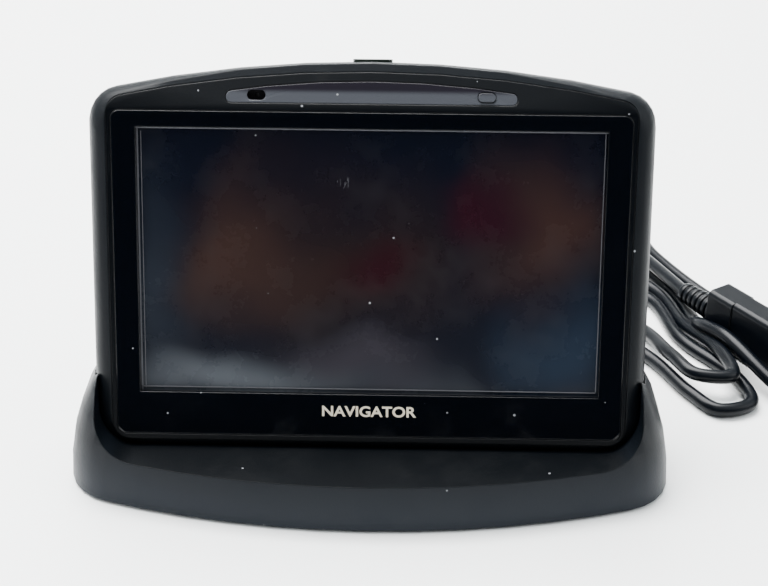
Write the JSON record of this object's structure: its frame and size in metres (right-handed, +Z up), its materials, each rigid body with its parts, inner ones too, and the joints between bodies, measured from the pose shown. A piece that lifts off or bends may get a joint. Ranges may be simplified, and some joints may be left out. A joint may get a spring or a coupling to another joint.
{
  "type": "portable car navigator with desk dock",
  "caption": "Flat touch-screen car navigator with an arched top, standing tilted in a D-shaped desk dock with side horns and a loose cord with a flat plug.",
  "frame": {"origin": "middle of the dock's footprint, on the plane its rubber feet stand on", "axes": "+X to the user's right along the screen, -Y towards the user, +Z up"},
  "size_m": [0.1834, 0.1469, 0.0866],
  "materials": {
    "case_plastic": "fine-grained matte",
    "bezel_plastic": "satin",
    "gloss_black": "polished",
    "smoky_lens": "smoky gloss",
    "screen": "satin anti-glare",
    "button_plastic": "satin",
    "dock_plastic": "fine-grained matte",
    "soft_rubber": "matte",
    "cord_jacket": "satin",
    "foam": "matte",
    "steel": "plain",
    "circuit_board": "solder mask",
    "chip_black": "matte",
    "ceramic": "ceramic",
    "battery_foil": "foil",
    "amber_film": "film",
    "card_plastic": "satin",
    "gold_contact": "gold plated"
  },
  "bodies": {
    "dock": {"dock_shell": "dock_plastic", "dock_base": "dock_plastic", "dock_weights": "steel", "dock_feet": "soft_rubber", "dock_screws": "steel", "contact_block": "chip_black", "contact_strips": "gold_contact", "contact_board": "circuit_board", "cord_clamp": "chip_black", "cord_relief": "soft_rubber", "cord_tube": "cord_jacket", "plug_relief": "cord_jacket", "plug_body": "cord_jacket", "plug_shell": "steel", "plug_tongue": "chip_black", "plug_contacts": "gold_contact"},
    "navigator": {"rear_housing": "case_plastic", "front_bezel": "bezel_plastic", "gloss_panel": "gloss_black", "lens_strip": "smoky_lens", "sensor_lens": "smoky_lens", "microphone_boot": "soft_rubber", "microphone": "steel", "light_sensor": "chip_black", "screen_gasket": "foam", "touch_panel": "screen", "lcd_panel": "screen", "lcd_frame": "steel", "display_flex": "amber_film", "chassis_plate": "steel", "main_board": "circuit_board", "board_chips": "chip_black", "shield_can": "steel", "gps_antenna": "ceramic", "battery_pad": "foam", "battery_cell": "battery_foil", "speaker": "chip_black", "speaker_seal": "foam", "speaker_grille": "gloss_black", "power_switch": "steel", "card_socket": "steel", "dock_socket": "chip_black", "usb_socket": "steel", "reset_switch": "chip_black", "board_screws": "steel", "case_screws": "steel"},
    "power_button": {"power_cap": "button_plastic"},
    "card": {"memory_card": "card_plastic"},
    "reset_button": {"reset_plunger": "chip_black"}
  },
  "joints": [
    {"name": "navigator_lift", "type": "slide", "parent": "dock", "child": "navigator", "axis": [0, 0.3256, 0.9455], "range_m": [0, 0.06]},
    {"name": "power_press", "type": "slide", "parent": "navigator", "child": "power_button", "axis": [0, -0.3256, -0.9455], "range_m": [0, 0.00035], "stiffness_N_per_m": 500, "springref_m": -0.001},
    {"name": "card_slide", "type": "slide", "parent": "navigator", "child": "card", "axis": [-1, 0, 0], "range_m": [-0.001, 0.034]},
    {"name": "reset_press", "type": "slide", "parent": "navigator", "child": "reset_button", "axis": [0, 0.3256, 0.9455], "range_m": [0, 0.00025], "stiffness_N_per_m": 500, "springref_m": -0.001}
  ]
}
